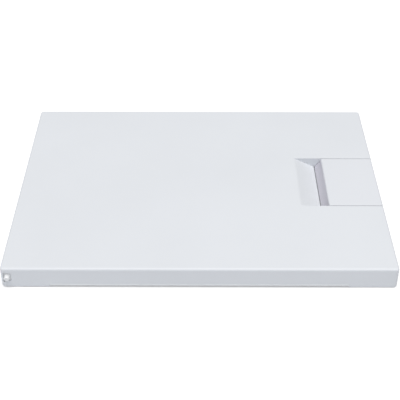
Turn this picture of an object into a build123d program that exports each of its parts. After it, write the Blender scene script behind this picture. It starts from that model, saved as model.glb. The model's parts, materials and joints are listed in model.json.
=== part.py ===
from build123d import *
import os
from math import atan, cos, hypot, radians, sin, tan

# Freezer compartment door, lying on its gasket with its front face up, in millimetres.
# X runs from the hinge side to the handle side, Y from the lower edge of the door in use to
# its upper edge, Z out of the front face. The origin is under the middle of the front face,
# in the plane that the gasket seals against.

os.makedirs("parts", exist_ok=True)

# Front moulding
width = 500.0  # front face, hinge side to handle side
height = 350.0  # front face, lower edge to upper edge
skin = 2.2  # wall thickness
draft = 1.5  # degrees that the side walls open towards the rear
edge_radius = 3.0
corner_radius = 4.0
post_length = 60.0  # corner posts, where the long side walls keep their full depth

# Rear moulding and gasket
gasket_proud = 1.5  # the gasket stands this much below the corner posts
rim_lift = 1.1  # rim bead above the ends of the corner posts
rim_thick = 3.0
rim_proud = 0.5  # rim bead out of the cut-back long walls
liner_wall = 2.0
channel_inset = 8.0
channel_width = 14.0
channel_roof = 8.0
gasket_base = 13.0
gasket_base_thick = 3.0
gasket_lip = 9.0
flute_count = 5
flute_width = 7.0
flute_depth = 0.8
flute_spacing = 70.0
flute_end_gap = 34.0

# Finger recess and latch lever, placed from the handle side
recess_start = 112.5  # from the handle side to the upper edge of the ramp
ramp_end = 82.5  # from the handle side to the lower edge of the ramp
recess_width = 106.0
recess_depth = 15.0
recess_radius = 10.0  # lower corner of the recess
brow_radius = 12.0  # blend of the front face into the ramp
ramp_edge_radius = 1.0
lever_gap = 0.8
lever_wall = 2.4
lip_offset = 9.4  # lip of the lever, right of the ramp's lower edge
lip_radius = 2.2
grip_hollow = 1.0  # how far the grip face is dished
pivot_inset = 6.5
pivot_depth = 9.0
lever_rib = 1.8
barrel_sweep = 130.0
latch_proud = 3.3
latch_width = 18.0
latch_thick = 2.9
latch_drop = 6.9  # holding face of the nose below the pivot
tray_drop = 4.0  # housing floor's upper side below the foot of the ramp
tray_wall = 2.0
stack_gap = 0.5  # between the housing and the roof of the gasket channel

# Pins and springs
lever_pin_radius = 2.0
clip_thick = 0.7
lever_wire = 0.8
lever_coil_radius = 3.0
lever_coil_turns = 5.5
lever_coil_length = 7.0
lever_coil_start = 25.5  # from the middle of the lever
lever_leg = 21.3
lever_bend = 0.55  # swelling of the wire where the coil turns into a leg
hinge_depth = 13.6  # hinge pin axis below the front face
hinge_pin_radius = 3.7  # shank of both pins, inside their blocks
lower_step = 0.2  # the fixed pin's end is this much thinner than its shank
upper_step = 0.7  # the same on the sprung pin
collar_step = 0.8
hinge_collar_thick = 2.5
hinge_reach = 5.0  # pin outside the side wall
hinge_dome = 1.2
journal_start = 0.6  # the shank's step outside the side wall
hinge_wire = 0.9
hinge_coil_turns = 7
pad_wall = 0.75  # round the pin, where the block fills the window
window_height = 14.0
window_radius = 2.0
window_sink = 1.1  # hinge block's pad below the outside of the wall
block_wall = 0.9  # hinge block, between its pin chamber and the hinge side

# Screws, bosses and clearances
screw_radius = 1.7
screw_head_radius = 3.2
screw_head_thick = 2.0
boss_radius = 4.0
boss_hole_depth = 5.4
dimple_radius = 3.8  # sunk seat of a liner screw
dimple_depth = 2.2
ear_thick = 3.0
ear_depth = 11.5  # underside of the screw ears below the front face
fit_gap = 0.3  # beside pieces that only stand next to each other
foam_gap = 1.0
running_gap = 0.05  # radial, round a pin that turns or slides
snug_gap = 0.02  # radial, round a pin or screw that stays put

# The recess, the housing under it and the gasket channel are stacked, and together they set
# how deep the side walls are at the corner posts
tray_depth = recess_depth + tray_drop
stack = tray_depth + tray_wall + stack_gap + liner_wall + channel_roof
wall_depth = stack - gasket_proud
face_z = gasket_proud + wall_depth
under_skin = face_z - skin
rim_bottom = gasket_proud + rim_lift
rim_top = rim_bottom + rim_thick
pan_inside = rim_bottom + liner_wall
dimple_seat = rim_bottom + dimple_depth
roof_top = channel_roof + liner_wall
handle_x = width / 2
hinge_x = -width / 2
recess_half = recess_width / 2
ramp_x = handle_x - ramp_end
lip_x = ramp_x + lip_offset
wall_end = lip_x + 1.0  # end walls of the recess run on past the lever's lip
recess_x = handle_x - recess_start
slope = recess_depth / (ramp_x - recess_x)
ramp_skin = skin * hypot(1, slope)
brow = brow_radius * tan(atan(slope) / 2)  # length of the blend before the ramp starts
pivot_x = handle_x - pivot_inset
over = 5.0  # how far a cutting shape runs past the face it opens


def flare(depth):
    """How far the draughted side walls have opened at a depth below the front face."""
    return depth * tan(radians(draft))


def z_at(depth):
    """Height of a point that lies a depth below the front face."""
    return face_z - depth


base_width = width + 2 * flare(wall_depth)
base_height = height + 2 * flare(wall_depth)
outline_radius = corner_radius + flare(wall_depth)
pivot_z = z_at(pivot_depth)
lower_journal_radius = hinge_pin_radius - lower_step
upper_journal_radius = hinge_pin_radius - upper_step
hinge_collar_radius = hinge_pin_radius + collar_step
chamber_radius = hinge_collar_radius + 2 * running_gap
window_width = 2 * (hinge_pin_radius + running_gap + pad_wall + fit_gap)
block_left = hinge_x + skin + fit_gap
hinge_pin_x = block_left + block_wall + chamber_radius
hinge_pin_z = z_at(hinge_depth)


def outline(inset, radius=corner_radius, mode=Mode.ADD):
    """The door's rear outline, drawn a distance inside its side walls."""
    RectangleRounded(base_width - 2 * inset, base_height - 2 * inset, radius, mode=mode)


def block(x, y, z, mode=Mode.ADD):
    """A box between two values on each axis."""
    middle = [(low + high) / 2 for low, high in (x, y, z)]
    with Locations(tuple(middle)):
        Box(x[1] - x[0], y[1] - y[0], z[1] - z[0], mode=mode)


def rod(centre, radius, y, mode=Mode.ADD):
    """A cylinder along Y between two values of Y."""
    with BuildSketch(Plane((centre[0], y[0], centre[1]), x_dir=(1, 0, 0), z_dir=(0, 1, 0))) as disc:
        Circle(radius)
    extrude(disc.sketch, amount=y[1] - y[0], mode=mode)


def coil_path(plane, length, turns, radius):
    """The middle line of a coil spring that starts on a plane's X axis and winds along its Z."""
    return plane.location * Helix(length / turns, length, radius, mode=Mode.PRIVATE)


def save(part, name):
    """Names a finished piece and writes its file."""
    part.label = name
    export_step(part, f"parts/{name}.step")


def screws(points, seat_z, length):
    """Pan-head screws driven upwards, with their heads under seat_z and a cross recess."""
    for x, y in points:
        with Locations((x, y, seat_z)):
            Cylinder(screw_radius, length, align=(Align.CENTER, Align.CENTER, Align.MIN))
            Cylinder(screw_head_radius, screw_head_thick, align=(Align.CENTER, Align.CENTER, Align.MAX))
        with Locations((x, y, seat_z - screw_head_thick)):
            for angle in (0, 90):
                slot = screw_head_radius * 1.3
                Box(0.9, slot, screw_head_thick, rotation=(0, 0, angle), mode=Mode.SUBTRACT)


# Screw places: (X, Y)
pan_inset = channel_inset + channel_width + liner_wall
liner_x = base_width / 2 - pan_inset - 3.6 * boss_radius
liner_y = base_height / 2 - pan_inset - 3.6 * boss_radius
liner_points = [(x, y) for x in (-liner_x, 0, liner_x) for y in (-liner_y, liner_y)] + [(-liner_x, 0)]
cheek_out = recess_half + tray_wall
housing_points = [
    (x, side * (cheek_out + boss_radius + fit_gap))
    for x in (ramp_x + 15, pivot_x - 14)
    for side in (-1, 1)
]
block_right = hinge_pin_x + 13.6
ear_x = block_right + boss_radius + 0.6
hinge_points = {
    side: [(ear_x, side * (height / 2 - out)) for out in (11, 28)] for side in (-1, 1)
}
ear_z = z_at(ear_depth)
ear_top = ear_z + ear_thick

# Cutting shape of the finger recess: a ramp down to the lever, with a soft brow at its start
# and one rounded corner in its plan
with BuildPart() as recess_space:
    with BuildSketch(Plane.XZ) as recess_profile:
        Polygon(
            (recess_x - 2 * brow, face_z),
            (recess_x, face_z),
            (ramp_x, z_at(recess_depth)),
            (ramp_x, face_z + over),
            (recess_x - 2 * brow, face_z + over),
            align=None,
        )
        bend = recess_profile.vertices().filter_by_position(Axis.X, recess_x - 0.1, recess_x + 0.1)
        fillet(bend, brow_radius)
    extrude(amount=recess_half, both=True)
    with BuildSketch(Plane.XY.offset(z_at(recess_depth) - over)) as recess_plan:
        with Locations(((recess_x - brow + ramp_x) / 2, 0)):
            Rectangle(ramp_x - recess_x + brow, recess_width)
        fillet(recess_plan.vertices().group_by(Axis.X)[0].sort_by(Axis.Y)[0], recess_radius)
    extrude(amount=recess_depth + 3 * over, mode=Mode.INTERSECT)

barrel_radius = handle_x + flare(pivot_depth) - pivot_x
notch_depth = pivot_depth + barrel_radius * sin(radians(56))
latch_top = pivot_depth + latch_drop
latch_slot_depth = latch_top + latch_thick + 1.8

with BuildPart() as front_panel:
    with BuildSketch(Plane.XY.offset(gasket_proud)):
        outline(0, outline_radius)
    extrude(amount=wall_depth, taper=draft)
    fillet(front_panel.faces().sort_by(Axis.Z)[-1].edges(), edge_radius)
    with BuildSketch(Plane.XY.offset(gasket_proud)):
        outline(skin, outline_radius - skin)
    extrude(amount=wall_depth - skin, taper=draft, mode=Mode.SUBTRACT)
    # The long walls stop at the rim bead between the corner posts
    for side in (-1, 1):
        reach = sorted((side * (height / 2 - 2 * skin), side * (height / 2 + over)))
        block(
            (post_length - handle_x, handle_x - post_length),
            reach,
            (0, rim_top),
            mode=Mode.SUBTRACT,
        )
    # Ramp and end walls of the finger recess
    with BuildSketch(Plane.XZ):
        Polygon(
            (recess_x, z_at(skin / 2)),
            (ramp_x, z_at(skin / 2)),
            (ramp_x, z_at(recess_depth + ramp_skin)),
            (recess_x, z_at(ramp_skin)),
            align=None,
        )
    extrude(amount=recess_half + tray_wall, both=True)
    add(recess_space.part, mode=Mode.SUBTRACT)
    ramp_edges = front_panel.edges().filter_by(Axis.Y).filter_by_position(
        Axis.X, ramp_x - 0.01, ramp_x + 0.01
    )
    fillet(
        ramp_edges.filter_by_position(Axis.Z, z_at(recess_depth + 0.01), z_at(recess_depth - 0.01)),
        ramp_edge_radius,
    )
    # Opening for the lever, which wraps over the handle side, and the slot for the latch nose
    block(
        (ramp_x, handle_x + over),
        (-recess_half, recess_half),
        (z_at(notch_depth), face_z + over),
        mode=Mode.SUBTRACT,
    )
    for side in (-1, 1):
        end_wall = sorted((side * recess_half, side * (recess_half + tray_wall)))
        block((ramp_x - 1, wall_end), end_wall, (z_at(recess_depth), z_at(skin / 2)))
    block(
        (handle_x - 2 * skin, handle_x + over),
        (-latch_width / 2 - 1.5, latch_width / 2 + 1.5),
        (z_at(latch_slot_depth), z_at(notch_depth) + 1),
        mode=Mode.SUBTRACT,
    )
    # Screw bosses under the front skin
    for points, low in (
        (liner_points, dimple_seat + liner_wall),
        (housing_points, ear_top),
        (hinge_points[-1] + hinge_points[1], ear_top),
    ):
        for x, y in points:
            with Locations((x, y, under_skin + 0.5)):
                Cylinder(boss_radius, under_skin + 0.5 - low, align=(Align.CENTER, Align.CENTER, Align.MAX))
            with Locations((x, y, low)):
                Cylinder(
                    screw_radius + snug_gap,
                    boss_hole_depth if low == ear_top else 14,
                    align=(Align.CENTER, Align.CENTER, Align.MIN),
                    mode=Mode.SUBTRACT,
                )
    # Windows for the hinge pins, each with a small catch slot beside its outer lower corner
    for side in (-1, 1):
        for x, z, size_x, size_z in (
            (hinge_pin_x, hinge_pin_z, window_width, window_height),
            (hinge_pin_x - window_width / 2 + 1.0, hinge_pin_z - window_height / 2, 3.6, 3.4),
        ):
            inside = (x, side * (height / 2 - 2 * skin), z)
            with BuildSketch(Plane(inside, x_dir=(1, 0, 0), z_dir=(0, side, 0))):
                RectangleRounded(size_x, size_z, window_radius if size_x == window_width else 0.6)
            extrude(amount=2 * skin + over, mode=Mode.SUBTRACT)
save(front_panel.part, "front_panel")

with BuildPart() as rear_liner:
    with BuildSketch(Plane.XY.offset(rim_bottom)):
        outline(skin + fit_gap)
    extrude(amount=rim_thick)
    tongue_half = handle_x - post_length - fit_gap
    bead_y = base_height / 2 + rim_proud
    block((-tongue_half, tongue_half), (-bead_y, bead_y), (rim_bottom, rim_top))
    bead_edges = rear_liner.edges().filter_by(Axis.X)
    fillet(bead_edges.group_by(Axis.Y)[0] + bead_edges.group_by(Axis.Y)[-1], rim_thick * 0.45)
    with BuildSketch(Plane.XY.offset(rim_bottom)):
        outline(channel_inset - liner_wall)
    extrude(amount=roof_top - rim_bottom)
    with BuildSketch(Plane.XY):
        outline(channel_inset, corner_radius)
        outline(channel_inset + channel_width, corner_radius + 4, mode=Mode.SUBTRACT)
    extrude(amount=channel_roof, mode=Mode.SUBTRACT)
    with BuildSketch(Plane.XY.offset(pan_inside)):
        outline(pan_inset, corner_radius + 2)
    extrude(amount=roof_top, mode=Mode.SUBTRACT)
    pan_face = rear_liner.faces().filter_by(Axis.Z).group_by(Axis.Z)[0].sort_by(SortBy.AREA)[-1]
    fillet(pan_face.outer_wire().edges(), liner_wall * 0.8)
    # Stiffening flutes pressed into the pan
    with BuildSketch(Plane.XY.offset(rim_bottom)):
        with GridLocations(0, flute_spacing * 0.9, 1, flute_count - 1):
            SlotOverall(base_width - 2 * pan_inset - 2 * flute_end_gap, flute_width)
    extrude(amount=flute_depth, mode=Mode.SUBTRACT)
    # Dimples that sink the screw heads below the pan
    for radius, low, high, mode in (
        (dimple_radius + liner_wall, rim_bottom, dimple_seat + liner_wall, Mode.ADD),
        (dimple_radius, 0, dimple_seat, Mode.SUBTRACT),
        (screw_radius + snug_gap, 0, roof_top, Mode.SUBTRACT),
    ):
        for x, y in liner_points:
            with Locations((x, y, low)):
                Cylinder(radius, high - low, align=(Align.CENTER, Align.CENTER, Align.MIN), mode=mode)
save(rear_liner.part, "rear_liner")

with BuildPart() as door_gasket:
    gasket_inset = channel_inset + (channel_width - gasket_base) / 2
    lip_inset = channel_inset + (channel_width - gasket_lip) / 2
    with BuildSketch(Plane.XY.offset(channel_roof - gasket_base_thick)):
        outline(gasket_inset, corner_radius)
        outline(gasket_inset + gasket_base, corner_radius + 4, mode=Mode.SUBTRACT)
    extrude(amount=gasket_base_thick)
    with BuildSketch(Plane.XY):
        outline(lip_inset, corner_radius + 2)
        outline(lip_inset + gasket_lip, corner_radius + 4, mode=Mode.SUBTRACT)
    extrude(amount=channel_roof - gasket_base_thick)
save(door_gasket.part, "door_gasket")

# Foam block between the shells, stepped round the gasket channel, with room for the inserts
bay_half = cheek_out + 2 * boss_radius + fit_gap + foam_gap + 0.5
with BuildPart() as insulation_core:
    foam_inset = skin + foam_gap + flare(wall_depth)
    with BuildSketch(Plane.XY.offset(roof_top + fit_gap)):
        outline(foam_inset, corner_radius)
    extrude(amount=under_skin - roof_top - 2 * fit_gap)
    with BuildSketch(Plane.XY.offset(pan_inside + fit_gap)):
        outline(pan_inset + foam_gap, corner_radius + 1)
    extrude(amount=roof_top - pan_inside)
    block(
        (recess_x - skin - foam_gap, handle_x + over),
        (-bay_half, bay_half),
        (0, face_z),
        mode=Mode.SUBTRACT,
    )
    for side in (-1, 1):
        corner = sorted((side * (height / 2 - 41), side * (height / 2 + over)))
        block((hinge_x - over, ear_x + boss_radius + foam_gap), corner, (0, face_z), mode=Mode.SUBTRACT)
    for x, y in liner_points:
        with Locations((x, y, face_z / 2)):
            Cylinder(boss_radius + foam_gap, face_z, mode=Mode.SUBTRACT)
        with Locations((x, y, dimple_seat + liner_wall + foam_gap)):
            Cylinder(
                dimple_radius + liner_wall + foam_gap,
                face_z,
                align=(Align.CENTER, Align.CENTER, Align.MAX),
                mode=Mode.SUBTRACT,
            )
save(insulation_core.part, "insulation_core")

# Tray under the lever, with two cheeks for the pivot pin and four screw ears
tray_x = ramp_x - 5.0
tray_end = handle_x - skin - fit_gap
tray_floor = z_at(tray_depth)
leg_post_x = pivot_x - 17.5
pad_points = [(ramp_x + 16, side * 36.0) for side in (-1, 1)]
pad_radius = 3.0
pad_height = tray_depth - recess_depth + 0.6 - fit_gap
with BuildPart() as handle_housing:
    block((tray_x, tray_end), (-cheek_out, cheek_out), (tray_floor - tray_wall, tray_floor))
    left_wall_top = z_at((tray_x + tray_wall - recess_x) * slope + ramp_skin) - fit_gap
    block((tray_x, tray_x + tray_wall), (-cheek_out, cheek_out), (tray_floor - tray_wall, left_wall_top))
    for side in (-1, 1):
        cheek = sorted((side * recess_half, side * cheek_out))
        under_ramp = z_at(recess_depth + ramp_skin) - fit_gap
        block((ramp_x, wall_end + 1), cheek, (tray_floor - tray_wall, under_ramp))
        block((wall_end + fit_gap, tray_end), cheek, (tray_floor - tray_wall, under_skin - 0.1))
        post = sorted((side * (lever_coil_start - 2.5), side * (lever_coil_start + 2.5)))
        block((leg_post_x, leg_post_x + tray_wall), post, (tray_floor, pivot_z - 1.0))
    for x, y in housing_points:
        with Locations((x, y, ear_z)):
            Cylinder(boss_radius, ear_thick, align=(Align.CENTER, Align.CENTER, Align.MIN))
        ear = sorted((y, y - (boss_radius + fit_gap + 0.5) * (1 if y > 0 else -1)))
        block((x - boss_radius, x + boss_radius), ear, (ear_z, ear_top))
    for x, y in housing_points:
        with Locations((x, y, ear_z)):
            Cylinder(screw_radius + snug_gap, 4 * ear_thick, mode=Mode.SUBTRACT)
    # Bottom of the bay is open under the latch nose
    block(
        (pivot_x - 7, tray_end + 1),
        (-latch_width / 2 - 2, latch_width / 2 + 2),
        (tray_floor - tray_wall - 1, tray_floor + 1),
        mode=Mode.SUBTRACT,
    )
    across = (-cheek_out - 1, cheek_out + 1)
    rod((pivot_x, pivot_z), lever_pin_radius + snug_gap, across, mode=Mode.SUBTRACT)
    for side in (-1, 1):
        leg_hole = (leg_post_x, side * lever_coil_start, pivot_z - lever_coil_radius)
        with Locations(Location(leg_hole, (0, 90, 0))):
            Cylinder(lever_wire / 2 + 0.2, 10, mode=Mode.SUBTRACT)
    for x, y in pad_points:
        with Locations((x, y, tray_floor - tray_wall / 2)):
            Cylinder(
                pad_radius / 2 + snug_gap,
                tray_wall / 2,
                align=(Align.CENTER, Align.CENTER, Align.MIN),
                mode=Mode.SUBTRACT,
            )
save(handle_housing.part, "handle_housing")

with BuildPart() as lever_stop_pads:
    for x, y in pad_points:
        with Locations((x, y, tray_floor)):
            Cylinder(pad_radius, pad_height, align=(Align.CENTER, Align.CENTER, Align.MIN))
            Cylinder(pad_radius / 2, tray_wall / 2, align=(Align.CENTER, Align.CENTER, Align.MAX))
save(lever_stop_pads.part, "lever_stop_pads")

# Latch lever: a hollow plate with a dished grip face at one end and a barrel at the other
lever_half = recess_half - lever_gap
grip_x = ramp_x + lever_gap
grip_z = z_at(recess_depth - 0.6)
grip_middle = ((grip_x + lip_x) / 2 + grip_hollow, (grip_z + face_z) / 2)
barrel_end = (
    pivot_x + barrel_radius * cos(radians(barrel_sweep)),
    pivot_z - barrel_radius * sin(radians(barrel_sweep)),
)
pocket_end = pivot_x - barrel_radius - 0.8
with BuildPart() as handle_lever:
    with BuildSketch(Plane.XZ):
        with BuildLine():
            ThreePointArc((grip_x, grip_z), grip_middle, (lip_x, face_z))
            Line((lip_x, face_z), (handle_x, face_z))
            Line((handle_x, face_z), (pivot_x + barrel_radius, pivot_z))
            CenterArc((pivot_x, pivot_z), barrel_radius, 0, -barrel_sweep)
            Line(barrel_end, (grip_x + lever_wall, grip_z))
            Line((grip_x + lever_wall, grip_z), (grip_x, grip_z))
        make_face()
    extrude(amount=lever_half, both=True)
    long_edges = handle_lever.edges().filter_by(Axis.Y)
    fillet(long_edges.group_by(Axis.Z)[-1].sort_by(Axis.X)[0], lip_radius)
    long_edges = handle_lever.edges().filter_by(Axis.Y)
    fillet(long_edges.group_by(Axis.Z)[-1].sort_by(Axis.X)[-1], edge_radius)
    # Three pockets leave two ribs and the end cheeks
    bay = (2 * lever_half - 2 * lever_wall - 2 * lever_rib) / 3
    for step in (-1, 0, 1):
        middle = step * (bay + lever_rib)
        with BuildSketch(Plane.XZ.offset(-middle)):
            Polygon(
                (grip_x + lever_wall + 0.3, grip_z - over),
                (grip_x + lever_wall + 0.3, grip_z),
                (lip_x + lever_wall, z_at(lever_wall)),
                (pocket_end, z_at(lever_wall)),
                (pocket_end, grip_z - over),
                align=None,
            )
        extrude(amount=bay / 2, both=True, mode=Mode.SUBTRACT)
    for side in (-1, 1):
        # Spring pocket in the barrel, and the tab that the spring's upper leg passes through
        spring_end = lever_coil_start + lever_coil_length
        spring_y = sorted((side * (lever_coil_start - 3.5), side * (spring_end + 4)))
        rod((pivot_x, pivot_z), barrel_radius - skin, spring_y, mode=Mode.SUBTRACT)
        block(
            (pocket_end - 0.5, pivot_x),
            spring_y,
            (pivot_z - 1.2 * barrel_radius, pivot_z + barrel_radius - skin),
            mode=Mode.SUBTRACT,
        )
        tab_y = side * spring_end
        block(
            (leg_post_x, leg_post_x + lever_wall),
            (tab_y - 2.2, tab_y + 2.2),
            (pivot_z + 1.0, z_at(lever_wall / 2)),
        )
        with Locations(Location((leg_post_x, tab_y, pivot_z + lever_coil_radius), (0, 90, 0))):
            Cylinder(lever_wire / 2 + 0.2, 8, mode=Mode.SUBTRACT)
    through = (-lever_half - 1, lever_half + 1)
    rod((pivot_x, pivot_z), lever_pin_radius + running_gap, through, mode=Mode.SUBTRACT)
    # Socket for the root of the latch nose, with a flat seat under the barrel
    block(
        (pivot_x - 3.0 - snug_gap, pivot_x + 2.0 + snug_gap),
        (-latch_width / 3 - snug_gap, latch_width / 3 + snug_gap),
        (z_at(latch_top) - over, pivot_z - lever_pin_radius - 1.0 + snug_gap),
        mode=Mode.SUBTRACT,
    )
save(handle_lever.part, "handle_lever")

with BuildPart() as latch_nose:
    nose_tip = handle_x + flare(latch_top) + latch_proud
    with BuildSketch(Plane.XZ):
        Polygon(
            (pivot_x - 3.0, z_at(latch_top)),
            (nose_tip, z_at(latch_top)),
            (nose_tip, z_at(latch_top + 1.0)),
            (nose_tip - 3.0, z_at(latch_top + latch_thick)),
            (pivot_x - 3.0, z_at(latch_top + latch_thick)),
            align=None,
        )
    extrude(amount=latch_width / 2, both=True)
    block(
        (pivot_x - 3.0, pivot_x + 2.0),
        (-latch_width / 3, latch_width / 3),
        (z_at(latch_top), pivot_z - lever_pin_radius - 1.0),
    )
    tip_edges = latch_nose.edges().filter_by(Axis.Z).group_by(Axis.X)[-1]
    chamfer(tip_edges, 0.8)
save(latch_nose.part, "latch_nose")

pin_half = cheek_out + 3.0
clip_in = cheek_out + fit_gap
with BuildPart() as lever_pivot_pin:
    rod((pivot_x, pivot_z), lever_pin_radius, (-pin_half, pin_half))
    chamfer(lever_pivot_pin.faces().filter_by(Axis.Y).edges(), 0.4)
    for side in (-1, 1):
        groove = sorted((side * clip_in, side * (clip_in + clip_thick + 0.1)))
        rod((pivot_x, pivot_z), lever_pin_radius + 1, groove, mode=Mode.SUBTRACT)
        rod((pivot_x, pivot_z), lever_pin_radius * 0.75, groove)
save(lever_pivot_pin.part, "lever_pivot_pin")

with BuildPart() as pivot_pin_clips:
    for side in (-1, 1):
        near = side * (clip_in + 0.05)
        seat = sorted((near, near + side * clip_thick))
        rod((pivot_x, pivot_z), lever_pin_radius * 1.9, seat)
        rod((pivot_x, pivot_z), lever_pin_radius * 0.75 + snug_gap, seat, mode=Mode.SUBTRACT)
        block(
            (pivot_x - lever_pin_radius * 2, pivot_x),
            (seat[0] - 0.1, seat[1] + 0.1),
            (pivot_z - 1.2, pivot_z + 1.2),
            mode=Mode.SUBTRACT,
        )
save(pivot_pin_clips.part, "pivot_pin_clips")

# Torsion springs round the pivot pin, mirror images, each with its lower leg held by the
# housing and its upper leg by the lever
lever_coil = coil_path(
    Plane((pivot_x, -lever_coil_start, pivot_z), x_dir=(0, 0, -1), z_dir=(0, -1, 0)),
    lever_coil_length,
    lever_coil_turns,
    lever_coil_radius,
)
with BuildPart() as lever_spring_lower:
    with BuildSketch(Plane(lever_coil @ 0, z_dir=lever_coil % 0)):
        Circle(lever_wire / 2)
    sweep(path=lever_coil, is_frenet=True)
    for along, rise in ((0, -1), (lever_coil_length, 1)):
        corner = Vector(pivot_x, -lever_coil_start - along, pivot_z + rise * lever_coil_radius)
        with Locations(corner):
            Sphere(lever_bend)
        with Locations(Location(corner - (lever_wire / 4, 0, 0), (0, -90, 0))):
            Cylinder(lever_wire / 2, lever_leg, align=(Align.CENTER, Align.CENTER, Align.MIN))
save(lever_spring_lower.part, "lever_spring_lower")

with BuildPart() as lever_spring_upper:
    mirror(lever_spring_lower.part, about=Plane.XZ)
save(lever_spring_upper.part, "lever_spring_upper")

# Hinge blocks and their caps: the lower and upper ones are mirror images
wall_y = height / 2 + flare(hinge_depth)
block_front = height / 2 - skin - fit_gap
pad_front = wall_y - window_sink
block_back = block_front - 32.0
shoulder = pad_front - 12.2
cap_stem = 3.0
cap_head = 1.8
hinge_axis = (hinge_pin_x, hinge_pin_z)
for side, name in ((-1, "lower"), (1, "upper")):
    with BuildPart() as hinge_block:
        block(
            (block_left, block_right),
            sorted((side * block_back, side * block_front)),
            (roof_top + fit_gap, under_skin - fit_gap),
        )
        upright = hinge_block.edges().filter_by(Axis.Z).group_by(Axis.X)[0]
        fillet(upright, corner_radius)
        pad_start = (hinge_pin_x, side * block_back, hinge_pin_z)
        with BuildSketch(Plane(pad_start, x_dir=(1, 0, 0), z_dir=(0, side, 0))):
            RectangleRounded(window_width - 2 * fit_gap, window_height - 2 * fit_gap, window_radius)
        extrude(amount=pad_front - block_back)
        for x, y in hinge_points[side]:
            with Locations((x, y, ear_z)):
                Cylinder(boss_radius, ear_thick, align=(Align.CENTER, Align.CENTER, Align.MIN))
            block((block_right - 1, x), (y - boss_radius, y + boss_radius), (ear_z, ear_top))
        for x, y in hinge_points[side]:
            with Locations((x, y, ear_z)):
                Cylinder(screw_radius + snug_gap, 4 * ear_thick, mode=Mode.SUBTRACT)
        chamber = sorted((side * (block_back - 1), side * shoulder))
        rod(hinge_axis, chamber_radius, chamber, mode=Mode.SUBTRACT)
        bore = sorted((side * block_back, side * (wall_y + 1)))
        rod(hinge_axis, hinge_pin_radius + running_gap, bore, mode=Mode.SUBTRACT)
        # Pocket behind the catch slot of the window
        catch_y = sorted((side * (block_front - 4), side * (wall_y + 1)))
        catch_x = hinge_pin_x - window_width / 2 + 1.0
        catch_z = hinge_pin_z - window_height / 2
        block((block_left - 1, catch_x + 1.8), catch_y, (catch_z - 1.7, catch_z + 1.7), mode=Mode.SUBTRACT)
    save(hinge_block.part, f"hinge_block_{name}")

    with BuildPart() as hinge_cap:
        cap_face = side * block_back
        rod(hinge_axis, hinge_collar_radius + running_gap, sorted((cap_face, cap_face + side * cap_stem)))
        rod(hinge_axis, hinge_collar_radius + 0.8, sorted((cap_face, cap_face - side * cap_head)))
        block(
            (hinge_pin_x - 0.6, hinge_pin_x + 0.6),
            sorted((cap_face - side * cap_head, cap_face - side * cap_head / 2)),
            (hinge_pin_z - hinge_collar_radius, hinge_pin_z + hinge_collar_radius),
            mode=Mode.SUBTRACT,
        )
    save(hinge_cap.part, f"hinge_cap_{name}")

pin_tip = wall_y + hinge_reach
journal_y = wall_y + journal_start
chamber_end = block_back + cap_stem
with BuildPart() as hinge_pin_fixed:
    rod(hinge_axis, lower_journal_radius, (-pin_tip, -shoulder))
    fillet(hinge_pin_fixed.faces().sort_by(Axis.Y)[0].edges(), hinge_dome)
    rod(hinge_axis, hinge_pin_radius, (-journal_y, -shoulder))
    rod(hinge_axis, hinge_collar_radius, (-shoulder, -chamber_end))
save(hinge_pin_fixed.part, "hinge_pin_fixed")

with BuildPart() as hinge_pin_sprung:
    rod(hinge_axis, upper_journal_radius, (shoulder, pin_tip))
    fillet(hinge_pin_sprung.faces().sort_by(Axis.Y)[-1].edges(), hinge_dome)
    rod(hinge_axis, hinge_pin_radius, (shoulder, journal_y))
    rod(hinge_axis, hinge_collar_radius, (shoulder - hinge_collar_thick, shoulder))
    rod(hinge_axis, hinge_collar_radius * 0.55, (shoulder - 2.5 * hinge_collar_thick, shoulder))
save(hinge_pin_sprung.part, "hinge_pin_sprung")

coil_start = chamber_end + hinge_wire / 2 + 0.1
coil_end = shoulder - hinge_collar_thick - hinge_wire / 2 - 0.1
coil = coil_path(
    Plane((hinge_pin_x, coil_start, hinge_pin_z), x_dir=(1, 0, 0), z_dir=(0, 1, 0)),
    coil_end - coil_start,
    hinge_coil_turns,
    hinge_collar_radius - 0.25 - hinge_wire / 2,
)
with BuildPart() as hinge_pin_spring:
    with BuildSketch(Plane(coil @ 0, z_dir=coil % 0)):
        Circle(hinge_wire / 2)
    sweep(path=coil, is_frenet=True)
save(hinge_pin_spring.part, "hinge_pin_spring")

with BuildPart() as hinge_block_screws:
    screws(hinge_points[-1] + hinge_points[1], ear_z, ear_thick + boss_hole_depth - 0.4)
save(hinge_block_screws.part, "hinge_block_screws")

with BuildPart() as housing_screws:
    screws(housing_points, ear_z, ear_thick + boss_hole_depth - 0.4)
save(housing_screws.part, "housing_screws")

with BuildPart() as liner_screws:
    screws(liner_points, dimple_seat, liner_wall + 12)
save(liner_screws.part, "liner_screws")
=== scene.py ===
import json
from math import cos, pi, radians, sin

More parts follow.
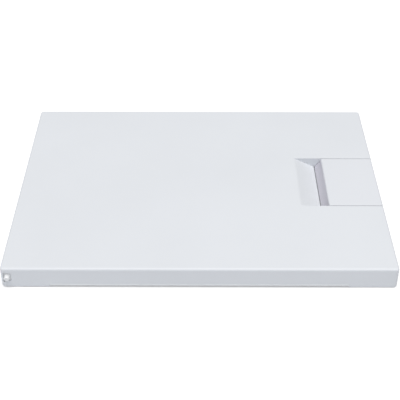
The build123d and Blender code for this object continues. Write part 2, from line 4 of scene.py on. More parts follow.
import bpy
import numpy as np
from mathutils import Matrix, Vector


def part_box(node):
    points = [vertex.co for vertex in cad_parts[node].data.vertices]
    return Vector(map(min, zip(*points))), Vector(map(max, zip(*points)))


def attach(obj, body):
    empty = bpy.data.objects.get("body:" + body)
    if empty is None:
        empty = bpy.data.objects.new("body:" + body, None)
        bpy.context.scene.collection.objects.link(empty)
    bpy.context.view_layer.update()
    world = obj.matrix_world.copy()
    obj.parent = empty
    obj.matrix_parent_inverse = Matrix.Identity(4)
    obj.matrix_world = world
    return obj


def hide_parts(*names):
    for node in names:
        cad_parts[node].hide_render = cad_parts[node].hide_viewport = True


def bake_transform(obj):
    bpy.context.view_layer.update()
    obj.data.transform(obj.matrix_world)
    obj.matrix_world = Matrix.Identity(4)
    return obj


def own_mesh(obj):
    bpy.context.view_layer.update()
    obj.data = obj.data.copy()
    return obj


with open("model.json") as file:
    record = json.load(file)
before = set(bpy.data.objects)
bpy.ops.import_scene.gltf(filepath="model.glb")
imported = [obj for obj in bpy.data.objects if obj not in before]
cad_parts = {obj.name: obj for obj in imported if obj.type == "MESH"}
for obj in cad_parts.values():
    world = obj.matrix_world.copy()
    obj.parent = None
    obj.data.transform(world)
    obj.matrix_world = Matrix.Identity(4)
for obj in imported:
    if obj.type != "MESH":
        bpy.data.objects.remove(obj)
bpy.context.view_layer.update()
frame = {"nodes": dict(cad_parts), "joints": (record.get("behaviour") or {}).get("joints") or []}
nodes = frame["nodes"]

# The camera stands in front of the door's lower edge and looks down on its front face.
# It is turned by a tenth of a degree from level, in line with the middle of the door, and the
# door fills the picture's width.
camera_height = 0.7516
camera_back = 0.890
camera_side = 0.0002
camera_tilt = radians(49.687)  # from looking straight down
camera_roll = radians(0.12)
camera_focal = 73.03  # in millimetres, on a sensor 36 wide
camera_data = bpy.data.cameras.new("camera")
camera_data.sensor_width = 36.0
camera_data.lens = camera_focal
camera = bpy.data.objects.new("camera", camera_data)
camera.location = (camera_side, -camera_back, camera_height)
camera.rotation_mode = "ZXY"
camera.rotation_euler = (camera_tilt, 0.0, camera_roll)
bpy.context.scene.collection.objects.link(camera)
bpy.context.scene.camera = camera

# The studio: a wide table with a soft box overhead, a weaker one in front, and a dim pale
# room. To the camera the table and the room are overexposed white, but they throw only as much
# light on the door as pale grey ones, so that the side walls keep their shade.
bpy.context.scene.view_settings.view_transform = "Standard"
table_half = 4.0
table_mesh = bpy.data.meshes.new("studio_table")
table_signs = ((-1, -1), (1, -1), (1, 1), (-1, 1))
table_corners = [(x * table_half, y * table_half, 0.0) for x, y in table_signs]
table_mesh.from_pydata(table_corners, [], [(0, 1, 2, 3)])
studio_table = bpy.data.objects.new("studio_table", table_mesh)
bpy.context.scene.collection.objects.link(studio_table)
table_paint = bpy.data.materials.new("table_paint")
table_paint.use_nodes = True
table_tree = table_paint.node_tree
table_white = table_tree.nodes["Principled BSDF"]
table_white.inputs["Base Color"].default_value = (0.93, 0.93, 0.93, 1)
table_white.inputs["Roughness"].default_value = 0.9
table_white.inputs["Specular IOR Level"].default_value = 0.1
table_white.inputs["Emission Color"].default_value = (1, 1, 1, 1)
table_white.inputs["Emission Strength"].default_value = 0.22
table_bounce = table_tree.nodes.new("ShaderNodeBsdfDiffuse")
table_bounce.inputs["Color"].default_value = (0.7, 0.705, 0.715, 1)
table_sight = table_tree.nodes.new("ShaderNodeLightPath")
table_mix = table_tree.nodes.new("ShaderNodeMixShader")
table_tree.links.new(table_sight.outputs["Is Camera Ray"], table_mix.inputs["Fac"])
table_tree.links.new(table_bounce.outputs["BSDF"], table_mix.inputs[1])
table_tree.links.new(table_white.outputs["BSDF"], table_mix.inputs[2])
table_output = table_tree.nodes["Material Output"]
table_tree.links.new(table_mix.outputs["Shader"], table_output.inputs["Surface"])
table_mesh.materials.append(table_paint)

room = bpy.data.worlds.new("room")
room.use_nodes = True
room_light = room.node_tree.nodes["Background"]
room_light.inputs["Color"].default_value = (0.94, 0.97, 1.0, 1)
room_light.inputs["Strength"].default_value = 0.3
room_wall = room.node_tree.nodes.new("ShaderNodeBackground")
room_wall.inputs["Color"].default_value = (1, 1, 1, 1)
room_sight = room.node_tree.nodes.new("ShaderNodeLightPath")
room_mix = room.node_tree.nodes.new("ShaderNodeMixShader")
room.node_tree.links.new(room_sight.outputs["Is Camera Ray"], room_mix.inputs["Fac"])
room.node_tree.links.new(room_light.outputs["Background"], room_mix.inputs[1])
room.node_tree.links.new(room_wall.outputs["Background"], room_mix.inputs[2])
room_output = room.node_tree.nodes["World Output"]
room.node_tree.links.new(room_mix.outputs["Shader"], room_output.inputs["Surface"])
bpy.context.scene.world = room


def soft_box(name, place, aim, wide, high, watts, tint):
    """A rectangular soft box that faces a point: its light leaves along its own -Z."""
    lamp = bpy.data.lights.new(name, "AREA")
    lamp.shape = "RECTANGLE"
    lamp.size, lamp.size_y = wide, high
    lamp.energy = watts
    lamp.color = tint
    box = bpy.data.objects.new(name, lamp)
    box.location = place
    box.rotation_euler = (Vector(aim) - Vector(place)).to_track_quat("-Z", "Y").to_euler()
    bpy.context.scene.collection.objects.link(box)


overhead_place, overhead_tint = (0.3, -1.1, 7.9), (1.0, 0.985, 0.975)
front_place, front_tint = (-1.1, -3.0, 0.8), (0.905, 0.93, 1.0)
door_middle = (0, 0, 0)
soft_box("overhead_box", overhead_place, door_middle, 6.0, 6.0, 562.0, overhead_tint)
soft_box("front_box", front_place, door_middle, 2.4, 1.3, 16.0, front_tint)


# front_panel: the door's outer shell with its side walls, finger recess and screw bosses.
# Injection moulded in white high-impact polystyrene, satin on the front, with a fine
# spark-eroded grain that only shows where light glances along it.
def moulded_plastic(name, tint, roughness, grain_size, grain_height, cloud=0.012):
    """A moulded thermoplastic: its colour drifts by a small share over wide soft clouds, its
    gloss drifts over smaller ones, and its surface carries a fine grain of a given size and
    height in metres."""
    paint = bpy.data.materials.new(name)
    paint.use_nodes = True
    tree = paint.node_tree
    shader = tree.nodes["Principled BSDF"]
    place = tree.nodes.new("ShaderNodeTexCoord")
    clouds = tree.nodes.new("ShaderNodeTexNoise")
    clouds.inputs["Scale"].default_value = 7.0
    clouds.inputs["Detail"].default_value = 3.0
    tree.links.new(place.outputs["Object"], clouds.inputs["Vector"])
    drift = tree.nodes.new("ShaderNodeValToRGB")
    drift.color_ramp.elements[0].position = 0.3
    drift.color_ramp.elements[1].position = 0.7
    drift.color_ramp.elements[0].color = (*[c * (1 - cloud) for c in tint], 1)
    drift.color_ramp.elements[1].color = (*[min(1.0, c * (1 + cloud)) for c in tint], 1)
    tree.links.new(clouds.outputs["Fac"], drift.inputs["Fac"])
    tree.links.new(drift.outputs["Color"], shader.inputs["Base Color"])
    handling = tree.nodes.new("ShaderNodeTexNoise")
    handling.inputs["Scale"].default_value = 38.0
    handling.inputs["Detail"].default_value = 5.0
    tree.links.new(place.outputs["Object"], handling.inputs["Vector"])
    gloss = tree.nodes.new("ShaderNodeMapRange")
    gloss.inputs["To Min"].default_value = roughness - 0.05
    gloss.inputs["To Max"].default_value = roughness + 0.05
    tree.links.new(handling.outputs["Fac"], gloss.inputs["Value"])
    tree.links.new(gloss.outputs["Result"], shader.inputs["Roughness"])
    grain = tree.nodes.new("ShaderNodeTexNoise")
    grain.inputs["Scale"].default_value = 1 / grain_size
    grain.inputs["Detail"].default_value = 2.0
    tree.links.new(place.outputs["Object"], grain.inputs["Vector"])
    relief = tree.nodes.new("ShaderNodeBump")
    relief.inputs["Strength"].default_value = 1.0
    relief.inputs["Distance"].default_value = grain_height
    tree.links.new(grain.outputs["Fac"], relief.inputs["Height"])
    tree.links.new(relief.outputs["Normal"], shader.inputs["Normal"])
    return paint


def finish_node(node, paint):
    """Gives a CAD node one material over its whole surface."""
    nodes[node].data.materials.clear()
    nodes[node].data.materials.append(paint)


door_white = moulded_plastic("door_white", (0.745, 0.768, 0.80), 0.52, 0.0007, 0.000012)
finish_node("front_panel", door_white)


# rear_liner: the inner shell, vacuum formed and trimmed, with its rim bead, gasket channel and
# fluted pan. White polystyrene, glossier than the front, held by seven screws in dimples.
liner_white = moulded_plastic("liner_white", (0.73, 0.75, 0.765), 0.26, 0.0021, 0.00002)
finish_node("rear_liner", liner_white)


# insulation_core: a block cut from expanded polystyrene, stepped round the gasket channel and
# laid between the shells. Beads of about 3 mm are pressed against each other.
def bead_foam(name, tint, bead):
    """Pressed foam beads: each cell of a Voronoi pattern domes up in its middle and is painted
    darker towards its rim, a painted shade in the creases between the beads."""
    paint = bpy.data.materials.new(name)
    paint.use_nodes = True
    tree = paint.node_tree
    shader = tree.nodes["Principled BSDF"]
    shader.inputs["Roughness"].default_value = 0.75
    place = tree.nodes.new("ShaderNodeTexCoord")
    cells = tree.nodes.new("ShaderNodeTexVoronoi")
    cells.inputs["Scale"].default_value = 1 / bead
    tree.links.new(place.outputs["Object"], cells.inputs["Vector"])
    # painted shade: the colour darkens from each bead's middle to its rim
    shade = tree.nodes.new("ShaderNodeValToRGB")
    shade.color_ramp.elements[0].color = (*tint, 1)
    shade.color_ramp.elements[1].color = (*[0.82 * c for c in tint], 1)
    shade.color_ramp.elements[0].position = 0.35
    shade.color_ramp.elements[1].position = 0.8
    tree.links.new(cells.outputs["Distance"], shade.inputs["Fac"])
    tree.links.new(shade.outputs["Color"], shader.inputs["Base Color"])
    dome = tree.nodes.new("ShaderNodeBump")
    dome.invert = True
    dome.inputs["Strength"].default_value = 0.8
    dome.inputs["Distance"].default_value = bead * 0.25
    tree.links.new(cells.outputs["Distance"], dome.inputs["Height"])
    tree.links.new(dome.outputs["Normal"], shader.inputs["Normal"])
    return paint


finish_node("insulation_core", bead_foam("foam_white", (0.88, 0.88, 0.87), 0.003))


# door_gasket: soft white vinyl extrusion pressed into the liner's channel, cut at 45 degrees
# and welded at the corners. A flanged base, a folded bellows and a flat magnet tube hang one
# below the other.
gasket_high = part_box("door_gasket")[1]
gasket_half_x = gasket_high.x
gasket_half_y = gasket_high.y
gasket_width = 0.013
gasket_outer_corner = 0.004
gasket_inner_corner = 0.008
gasket_base = 0.0064  # height of the base's underside above the sealing face
gasket_wave = 0.00012
weld_depth = 0.00018
weld_reach = 0.0006
gasket_section = np.array(
    [
        # across the width from the outer edge, height above the sealing face; in millimetres
        (0.0, 7.2), (0.35, 7.8), (1.1, 8.0), (6.5, 8.0), (11.9, 8.0), (12.65, 7.8), (13.0, 7.2),
        (12.8, 6.7), (11.9, 6.4), (10.6, 6.3), (9.9, 6.05), (10.2, 5.7), (11.3, 5.35), (11.7, 5.0),
        (11.4, 4.6), (10.3, 4.25), (9.6, 3.95), (9.5, 3.55), (10.2, 3.2), (10.9, 2.9), (11.0, 2.3),
        (11.0, 0.9), (10.8, 0.35), (10.2, 0.05), (9.0, 0.0), (6.5, 0.0), (4.0, 0.0), (2.8, 0.05),
        (2.2, 0.35), (2.0, 0.9), (2.0, 2.3), (2.1, 2.9), (2.8, 3.2), (3.5, 3.55), (3.4, 3.95),
        (2.7, 4.25), (1.6, 4.6), (1.3, 5.0), (1.7, 5.35), (2.8, 5.7), (3.1, 6.05), (2.4, 6.3),
        (1.1, 6.4), (0.2, 6.7),
    ]
) / 1000


def ring_path(half_x, half_y, radius, per_side, per_corner):
    """Points round a rounded rectangle, anticlockwise: along each side in equal steps, then
    round the corner's quarter circle. All inputs may be columns, one row for each ring."""
    turn = np.linspace(0, pi / 2, per_corner)
    along = np.linspace(0, 1, per_side, endpoint=False)[1:]
    xs, ys = [], []
    for quarter, (sx, sy) in enumerate(((1, 1), (-1, 1), (-1, -1), (1, -1))):
        angle = turn + quarter * pi / 2
        xs.append(sx * (half_x - radius) + radius * np.cos(angle))
        ys.append(sy * (half_y - radius) + radius * np.sin(angle))
        nx, ny = ((-1, 1), (-1, -1), (1, -1), (1, 1))[quarter]
        after = angle[-1]
        end_x, end_y = xs[-1][:, -1:], ys[-1][:, -1:]
        next_x = nx * (half_x - radius) + radius * cos(after)
        next_y = ny * (half_y - radius) + radius * sin(after)
        xs.append(end_x + (next_x - end_x) * along)
        ys.append(end_y + (next_y - end_y) * along)
    return np.hstack(xs), np.hstack(ys)


def grid_mesh(name, points, wrap_rows, wrap_columns):
    """A mesh of four-sided faces through a grid of points, shaped (rows, columns, 3), which
    may close on itself either way."""
    rows, columns = points.shape[:2]
    r = np.arange(rows if wrap_rows else rows - 1)[:, None]
    c = np.arange(columns if wrap_columns else columns - 1)[None, :]
    r2, c2 = (r + 1) % rows, (c + 1) % columns
    faces = np.stack([r * columns + c, r * columns + c2, r2 * columns + c2, r2 * columns + c], -1)
    mesh = bpy.data.meshes.new(name)
    mesh.from_pydata(points.reshape(-1, 3), [], faces.reshape(-1, 4).tolist())
    mesh.shade_smooth()
    return mesh


def extruded_ring(name, section, half_x, half_y):
    """A section carried round a rounded rectangle. Each point of the section keeps its distance
    from the outer edge, its corner radius grows evenly from the outer edge to the inner one,
    and the magnet tube waves up and down by a hair over each span."""
    inset = section[:, :1]
    share = inset / gasket_width
    radius = gasket_outer_corner + share * (gasket_inner_corner - gasket_outer_corner)
    x, y = ring_path(half_x - inset, half_y - inset, radius, per_side=60, per_corner=17)
    around = np.linspace(0, 2 * pi, x.shape[1], endpoint=False)
    lift = section[:, 1:] * np.ones_like(x)
    slack = np.clip(1 - lift / gasket_base, 0, 1)
    wave = gasket_wave * (np.sin(23 * around) + 0.6 * np.sin(37 * around + 1.3))
    # the weld is a shallow groove across each corner
    diagonal = np.abs(np.abs(x) - half_x - np.abs(y) + half_y)
    weld = weld_depth * np.exp(-((diagonal / weld_reach) ** 2))
    middle = lift.mean()
    lift = lift + slack * np.abs(wave) * (lift < middle) - weld * np.sign(lift - middle)
    return grid_mesh(name, np.stack([x, y, lift], -1), True, True)


def soft_vinyl(name, tint):
    """Plasticised vinyl: matt and faintly waxy, because a little light scatters under its
    surface, with a fine grain and stronger clouds in its colour."""
    paint = moulded_plastic(name, tint, 0.55, 0.0009, 0.00002, cloud=0.035)
    shader = paint.node_tree.nodes["Principled BSDF"]
    shader.inputs["Subsurface Weight"].default_value = 0.08
    shader.inputs["Subsurface Radius"].default_value = (0.002, 0.002, 0.0018)
    shader.inputs["Subsurface Scale"].default_value = 1.0
    return paint


gasket_ring = bpy.data.objects.new(
    "gasket_bellows", extruded_ring("gasket_bellows", gasket_section, gasket_half_x, gasket_half_y)
)
gasket_ring.data.materials.append(soft_vinyl("gasket_white", (0.78, 0.785, 0.775)))
bpy.context.scene.collection.objects.link(gasket_ring)
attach(gasket_ring, "door_shell")
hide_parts("door_gasket")


# handle_housing: the tray under the lever, moulded in matt white polypropylene. It is screwed
# to the front shell by four ears and carries the pivot pin in its cheeks.
tray_white = moulded_plastic("tray_white", (0.72, 0.745, 0.77), 0.55, 0.0011, 0.00003)
finish_node("handle_housing", tray_white)


# lever_stop_pads: two soft rubber buttons, pushed into the tray's floor, that stop the lever.
rubber_grey = (0.07, 0.07, 0.075)
grey_rubber = moulded_plastic("grey_rubber", rubber_grey, 0.7, 0.0005, 0.00004, cloud=0.08)
finish_node("lever_stop_pads", grey_rubber)


# handle_lever: the latch lever, a hollow plate flush with the front, with a dished grip face
# and a barrel over the pivot pin. Moulded in the same white as the door, satin; its grip face is
# painted darker, a painted shade for the shade that falls in the grip's hollow.
def grip_shade_plastic(name, tint, shade_tint, roughness, fade_start, fade_end):
    """Moulded plastic painted in a darker shade colour up to one place along X, a painted shade,
    and in its own colour past another. It turns patchily between them, because a noise is added to
    X."""
    paint = moulded_plastic(name, tint, roughness, 0.0007, 0.000012)
    tree = paint.node_tree
    shader = tree.nodes["Principled BSDF"]
    unshaded_colour = shader.inputs["Base Color"].links[0].from_socket
    place = tree.nodes.new("ShaderNodeTexCoord")
    axes = tree.nodes.new("ShaderNodeSeparateXYZ")
    tree.links.new(place.outputs["Object"], axes.inputs["Vector"])
    patches = tree.nodes.new("ShaderNodeTexNoise")
    patches.inputs["Scale"].default_value = 90.0
    patches.inputs["Detail"].default_value = 3.0
    tree.links.new(place.outputs["Object"], patches.inputs["Vector"])
    spread = tree.nodes.new("ShaderNodeMath")
    spread.operation = "MULTIPLY_ADD"
    spread.inputs[1].default_value = 0.0012
    tree.links.new(patches.outputs["Fac"], spread.inputs[0])
    tree.links.new(axes.outputs["X"], spread.inputs[2])
    reach = tree.nodes.new("ShaderNodeMapRange")
    reach.interpolation_type = "SMOOTHSTEP"
    reach.inputs["From Min"].default_value = fade_end
    reach.inputs["From Max"].default_value = fade_start
    tree.links.new(spread.outputs["Value"], reach.inputs["Value"])
    painted_shade_mix = tree.nodes.new("ShaderNodeMix")
    painted_shade_mix.data_type = "RGBA"
    painted_shade_mix.inputs["B"].default_value = (*shade_tint, 1)
    tree.links.new(reach.outputs["Result"], painted_shade_mix.inputs["Factor"])
    tree.links.new(unshaded_colour, painted_shade_mix.inputs["A"])
    tree.links.new(painted_shade_mix.outputs["Result"], shader.inputs["Base Color"])
    return paint


lip_inset = 0.0086  # from the foot of the lever's grip face to its lip
grip_fade = 0.0012
lip_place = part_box("handle_lever")[0].x + lip_inset
lever_tint = (0.745, 0.765, 0.80)
# painted shade: the grip face is coloured darker to stand in for the shade in the grip's hollow
grip_painted_shade_tint = (0.56, 0.55, 0.61)
lever_white = grip_shade_plastic(
    "lever_white", lever_tint, grip_painted_shade_tint, 0.5, lip_place - grip_fade, lip_place + grip_fade
)
finish_node("handle_lever", lever_white)


# latch_nose: natural acetal insert pressed into the lever's barrel. It is cream white and
# waxy, because it rubs on the striker.
acetal_natural = moulded_plastic("acetal_natural", (0.76, 0.74, 0.68), 0.34, 0.0016, 0.000015)
finish_node("latch_nose", acetal_natural)


# lever_pivot_pin and pivot_pin_clips: a drawn steel rod with a groove at each end, and the
# two stamped clips that keep it in the tray's cheeks.
def drawn_metal(name, tint, roughness, line_axis, line_size):
    """Drawn or rolled metal: fine lines run along one axis, and the gloss and the height both
    follow them, over slow clouds of duller metal."""
    paint = bpy.data.materials.new(name)
    paint.use_nodes = True
    tree = paint.node_tree
    shader = tree.nodes["Principled BSDF"]
    shader.inputs["Metallic"].default_value = 1.0
    place = tree.nodes.new("ShaderNodeTexCoord")
    stretch = tree.nodes.new("ShaderNodeMapping")
    scale = [0.03 if axis == line_axis else 1.0 for axis in range(3)]
    stretch.inputs["Scale"].default_value = scale
    tree.links.new(place.outputs["Object"], stretch.inputs["Vector"])
    lines = tree.nodes.new("ShaderNodeTexNoise")
    lines.inputs["Scale"].default_value = 1 / line_size
    lines.inputs["Detail"].default_value = 4.0
    tree.links.new(stretch.outputs["Vector"], lines.inputs["Vector"])
    dull = tree.nodes.new("ShaderNodeTexNoise")
    dull.inputs["Scale"].default_value = 260.0
    tree.links.new(place.outputs["Object"], dull.inputs["Vector"])
    shade = tree.nodes.new("ShaderNodeValToRGB")
    shade.color_ramp.elements[0].position = 0.3
    shade.color_ramp.elements[1].position = 0.75
    shade.color_ramp.elements[0].color = (*[0.78 * c for c in tint], 1)
    shade.color_ramp.elements[1].color = (*tint, 1)
    tree.links.new(dull.outputs["Fac"], shade.inputs["Fac"])
    tree.links.new(shade.outputs["Color"], shader.inputs["Base Color"])
    gloss = tree.nodes.new("ShaderNodeMapRange")
    gloss.inputs["To Min"].default_value = roughness - 0.08
    gloss.inputs["To Max"].default_value = roughness + 0.1
    tree.links.new(lines.outputs["Fac"], gloss.inputs["Value"])
    tree.links.new(gloss.outputs["Result"], shader.inputs["Roughness"])
    relief = tree.nodes.new("ShaderNodeBump")
    relief.inputs["Strength"].default_value = 0.6
    relief.inputs["Distance"].default_value = line_size * 0.1
    tree.links.new(lines.outputs["Fac"], relief.inputs["Height"])
    tree.links.new(relief.outputs["Normal"], shader.inputs["Normal"])
    return paint


finish_node("lever_pivot_pin", drawn_metal("steel_rod", (0.62, 0.62, 0.63), 0.26, 1, 0.00012))
finish_node("pivot_pin_clips", drawn_metal("steel_clip", (0.16, 0.17, 0.2), 0.38, 2, 0.0002))


# lever_spring_lower and lever_spring_upper: torsion springs wound from 0.8 mm zinc-plated
# spring wire round the pivot pin, one the mirror image of the other. The inner leg is held by
# the tray, the outer leg by the lever, so the coil winds up as the lever is lifted.
torsion_wire = 0.0004  # radius
torsion_radius = 0.003
torsion_turns = 5.5
torsion_start = 0.0255  # from the middle of the lever
torsion_length = 0.007
torsion_leg = 0.0212
torsion_steps = 290
wire_facets = 14
pivot = next(j for j in frame["joints"] if j["name"] == "lever_pivot")["pos_m"]


def capped_tube(rings):
    """The points and faces of a tube through rings of points, shaped (rings, points, 3). Each
    end is closed by a fan of triangles to the middle of its ring. Faces point outwards, which
    the sign of the enclosed volume tells: the sum of each triangle's corner product."""
    count, around = rings.shape[:2]
    vertices = np.concatenate([rings.reshape(-1, 3), rings[:1].mean(1), rings[-1:].mean(1)])
    r, c = np.arange(count - 1)[:, None] * around, np.arange(around)[None, :]
    c2 = (c + 1) % around
    quads = np.stack([r + c, r + c2, r + around + c2, r + around + c], -1)
    c, c2 = c[0], c2[0]
    first, last = count * around, count * around + 1
    start_fan = np.stack([c2, c, np.full(around, first)], -1)
    end_fan = np.stack([first - around + c, first - around + c2, np.full(around, last)], -1)
    quads = quads.reshape(-1, 4)
    triangles = np.concatenate([quads[:, [0, 1, 2]], quads[:, [0, 2, 3]], start_fan, end_fan])
    corners = vertices[triangles] - vertices.mean(0)
    volume = np.einsum("ij,ij->i", corners[:, 0], np.cross(corners[:, 1], corners[:, 2])).sum()
    turn = slice(None) if volume > 0 else slice(None, None, -1)
    faces = quads[:, turn].tolist() + start_fan[:, turn].tolist() + end_fan[:, turn].tolist()
    return vertices, faces


def wire_tube(name, path, outward, sideways, radius):
    """A round wire along a path: at each point a circle of the wire's radius stands in the
    plane of two given directions. Its ends close to a point with a rounded rim."""
    ring = np.linspace(0, 2 * pi, wire_facets, endpoint=False)
    swell = np.ones(len(path))
    swell[:3] = swell[-1:-4:-1] = (0.3, 0.72, 0.95)
    circle = outward[:, None] * np.cos(ring)[:, None] + sideways[:, None] * np.sin(ring)[:, None]
    points = path[:, None] + circle * (radius * swell)[:, None, None]
    vertices, faces = capped_tube(points)
    mesh = bpy.data.meshes.new(name)
    mesh.from_pydata(vertices, [], faces)
    mesh.shade_smooth()
    return mesh


def torsion_spring(name, side):
    """A straight leg towards the grip, five and a half turns round the pivot that step along
    the pin, and a second straight leg. Both legs leave the coil along its tangent."""
    turn = np.linspace(0, torsion_turns * 2 * pi, torsion_steps)
    rim = np.r_[0.0, 0.02, 0.06]
    leg = np.r_[rim * torsion_leg, np.linspace(0.1, 1, 12, endpoint=False) * torsion_leg]
    angle = np.r_[np.zeros(len(leg)), turn, np.full(len(leg), turn[-1])]
    back = np.r_[torsion_leg - leg, np.zeros(len(turn)), torsion_leg - leg[::-1]]
    step = torsion_length * angle / turn[-1]
    outward = np.stack([np.sin(angle), np.zeros_like(angle), -np.cos(angle)], -1)
    path = np.array(pivot) + torsion_radius * outward
    path[:, 0] -= back
    path[:, 1] = side * (torsion_start + step)
    sideways = np.tile([0.0, -side, 0.0], (len(path), 1))
    return wire_tube(name, path, outward, sideways, torsion_wire)


spring_steel = drawn_metal("spring_steel", (0.5, 0.5, 0.52), 0.3, 1, 0.00015)
for side, which in ((-1, "lower"), (1, "upper")):
    coil_name = f"torsion_coil_{which}"
    spring = bpy.data.objects.new(coil_name, torsion_spring(coil_name, side))
    spring.data.materials.append(spring_steel)
    bpy.context.scene.collection.objects.link(spring)
    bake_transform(spring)
    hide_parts(f"lever_spring_{which}")


# hinge_block_lower and hinge_block_upper: bearing blocks for the hinge pins, moulded in white
# acetal, each screwed to the front shell by two ears. Their pads fill the windows in the walls.
acetal_white = moulded_plastic("acetal_white", (0.72, 0.735, 0.75), 0.42, 0.0013, 0.00002)
finish_node("hinge_block_lower", acetal_white)
finish_node("hinge_block_upper", acetal_white)


# hinge_pin_fixed and hinge_pin_sprung: white acetal pins, turned smooth and bright on their
# ends. hinge_cap_lower and hinge_cap_upper close the blocks behind them, in grey.
pin_white = moulded_plastic("pin_white", (0.84, 0.85, 0.86), 0.24, 0.0004, 0.000006)
finish_node("hinge_pin_fixed", pin_white)
finish_node("hinge_pin_sprung", pin_white)
cap_grey = moulded_plastic("cap_grey", (0.3, 0.31, 0.33), 0.45, 0.001, 0.00002, cloud=0.04)
finish_node("hinge_cap_lower", cap_grey)
finish_node("hinge_cap_upper", cap_grey)


# hinge_pin_spring: compression spring behind the upper pin, wound from 0.9 mm spring wire
# with its end turns closed. It shortens against its cap as the pin is pushed in.
thrust_low, thrust_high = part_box("hinge_pin_spring")
thrust_wire = 0.00045
thrust_turns = 8.0
thrust_closed = 0.9  # turns that lie flat at each end
thrust_ease = 0.5  # turns over which the closed end opens
thrust_steps = 400
thrust_radius = (thrust_high.x - thrust_low.x) / 2 - thrust_wire
thrust_x = (thrust_high.x + thrust_low.x) / 2
thrust_z = (thrust_high.z + thrust_low.z) / 2


def compression_spring(name):
    """Turns round the pin's axis at one radius. The step along the axis is the wire's own
    thickness in the closed end turns and even between them, and the two join smoothly."""
    turn = np.linspace(0, thrust_turns, thrust_steps)
    opening = np.clip((turn - thrust_closed) / thrust_ease, 0, 1)
    closing = np.clip((thrust_turns - thrust_closed - turn) / thrust_ease, 0, 1)
    pitch = opening * closing
    closed_step = 2 * thrust_wire * thrust_closed
    travel = np.cumsum(pitch)
    travel /= travel[-1]
    open_length = thrust_high.y - thrust_low.y - 2 * thrust_wire - 2 * closed_step
    first_turn = np.clip(turn / thrust_closed, 0, 1)
    last_turn = np.clip((turn - thrust_turns) / thrust_closed + 1, 0, 1)
    step = closed_step * (first_turn + last_turn)
    along = thrust_low.y + thrust_wire + step + travel * open_length
    angle = 2 * pi * turn
    outward = np.stack([np.cos(angle), np.zeros_like(angle), -np.sin(angle)], -1)
    path = thrust_radius * outward + np.array([thrust_x, 0.0, thrust_z])
    path[:, 1] = along
    sideways = np.tile([0.0, -1.0, 0.0], (len(path), 1))
    return wire_tube(name, path, outward, sideways, thrust_wire)


thrust_coil = bpy.data.objects.new("thrust_coil", compression_spring("thrust_coil"))
thrust_coil.data.materials.append(spring_steel)
bpy.context.scene.collection.objects.link(thrust_coil)
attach(thrust_coil, "door_shell")
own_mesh(thrust_coil)
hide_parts("hinge_pin_spring")


# hinge_block_screws, housing_screws and liner_screws: zinc-plated pan-head screws with a cross
# recess and a coarse thread for plastic, driven up into the front shell's bosses.
screw_head = 0.0032  # radius
screw_head_height = 0.002
screw_thread = 0.0017  # radius over the thread
screw_core = 0.0012
thread_pitch = 0.0011
recess_arm = 0.0019
recess_width = 0.0008
recess_depth = 0.0013
recess_blur = 0.00018  # over which the recess's walls fall
crown_drop = 0.0009
crown_flat = 0.35  # share of the head's radius that is flat
point_length = 0.0022
thread_runout = 0.0006
screw_facets = 48
head_rows = 22
shank_rows = 130
# the head's side, from its crown in to the shank: radius, and height as a share of the head's
head_side = (
    (screw_head, 0.55),
    (screw_head * 0.99, 0.12),
    (screw_head * 0.96, 0.0),
    (screw_core, 0.0),
)


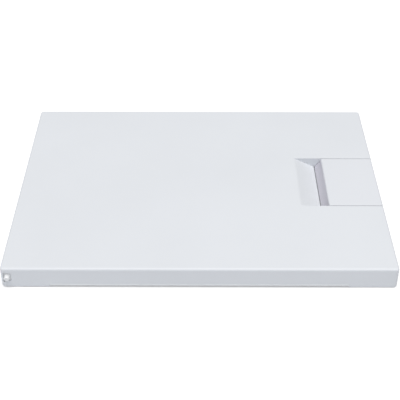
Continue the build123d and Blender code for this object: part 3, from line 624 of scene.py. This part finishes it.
def screw_surface(seat_z, tip_z):
    """One screw as a surface of turning: from the middle of the head out over its crown, down
    its side, in to the shank and up to the point. The cross recess sinks the crown along two
    arms, deepest in the middle, and the thread is a ridge that climbs one pitch each turn."""
    turn = np.linspace(0, 2 * pi, screw_facets, endpoint=False)[None, :]
    out = np.linspace(0, 1, head_rows)[:, None]
    crown_radius = screw_head * (0.02 + 0.98 * out)
    fall = np.clip((out - crown_flat) / (1 - crown_flat), 0, 1) ** 2.4
    crown = seat_z - screw_head_height + crown_drop * fall
    x = crown_radius * np.cos(turn)
    y = crown_radius * np.sin(turn)
    across = np.minimum(np.abs(x), np.abs(y))
    length = np.maximum(np.abs(x), np.abs(y))
    wall = np.clip((recess_width / 2 - across) / recess_blur + 0.5, 0, 1)
    sink = recess_depth * np.clip(1.15 - length / recess_arm, 0, 1) ** 0.7 * wall
    head = np.stack([x, y, crown + sink], -1)
    rim = []
    for radius, height in head_side:
        level = np.full(screw_facets, seat_z - height * screw_head_height)
        rim.append(np.stack([radius * np.cos(turn[0]), radius * np.sin(turn[0]), level], -1))
    climb = np.linspace(0.0002, tip_z - seat_z, shank_rows)[:, None]
    phase = (climb / thread_pitch - turn / (2 * pi)) % 1.0
    ridge = np.clip(1 - np.abs(phase - 0.5) / 0.3, 0, 1)
    point = np.clip((tip_z - seat_z - climb) / point_length, 0.02, 1)
    start = np.clip((climb - thread_runout) / thread_runout, 0, 1)
    radius = (screw_core + (screw_thread - screw_core) * ridge * start) * point
    shank = np.stack([radius * np.cos(turn), radius * np.sin(turn), seat_z + climb + 0 * turn], -1)
    return np.concatenate([head, np.stack(rim), shank])


def screw_group(node, points, paint):
    """The screws of one CAD node, each turned by its own angle, in one mesh."""
    low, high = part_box(node)
    seat_z = low.z + screw_head_height
    vertices, faces = capped_tube(screw_surface(seat_z, high.z))
    all_points, all_faces = [], []
    for count, (x, y) in enumerate(points):
        angle = 0.7 + 2.4 * count
        turned = vertices.copy()
        turned[:, 0] = x + vertices[:, 0] * cos(angle) - vertices[:, 1] * sin(angle)
        turned[:, 1] = y + vertices[:, 0] * sin(angle) + vertices[:, 1] * cos(angle)
        all_points.append(turned)
        all_faces += [[corner + count * len(vertices) for corner in face] for face in faces]
    mesh = bpy.data.meshes.new(node)
    mesh.from_pydata(np.concatenate(all_points), [], all_faces)
    mesh.shade_smooth()
    mesh.materials.append(paint)
    group = bpy.data.objects.new(f"{node}_threaded", mesh)
    bpy.context.scene.collection.objects.link(group)
    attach(group, "door_shell")
    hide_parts(node)


def screw_places(node):
    """The middles of a CAD node's screws, from the points of their heads: points within a head's
    width of each other belong to one screw."""
    mesh = nodes[node].data
    points = np.empty(len(mesh.vertices) * 3, np.float32)
    mesh.vertices.foreach_get("co", points)
    points = points.reshape(-1, 3)[:, :2]
    places = []
    while len(points):
        near = np.hypot(*(points - points[0]).T) < 3 * screw_head
        places.append(tuple((points[near].min(0) + points[near].max(0)) / 2))
        points = points[~near]
    return sorted(places)


zinc_screw = drawn_metal("zinc_screw", (0.6, 0.61, 0.64), 0.3, 2, 0.0002)
for node in ("hinge_block_screws", "housing_screws", "liner_screws"):
    screw_group(node, screw_places(node), zinc_screw)
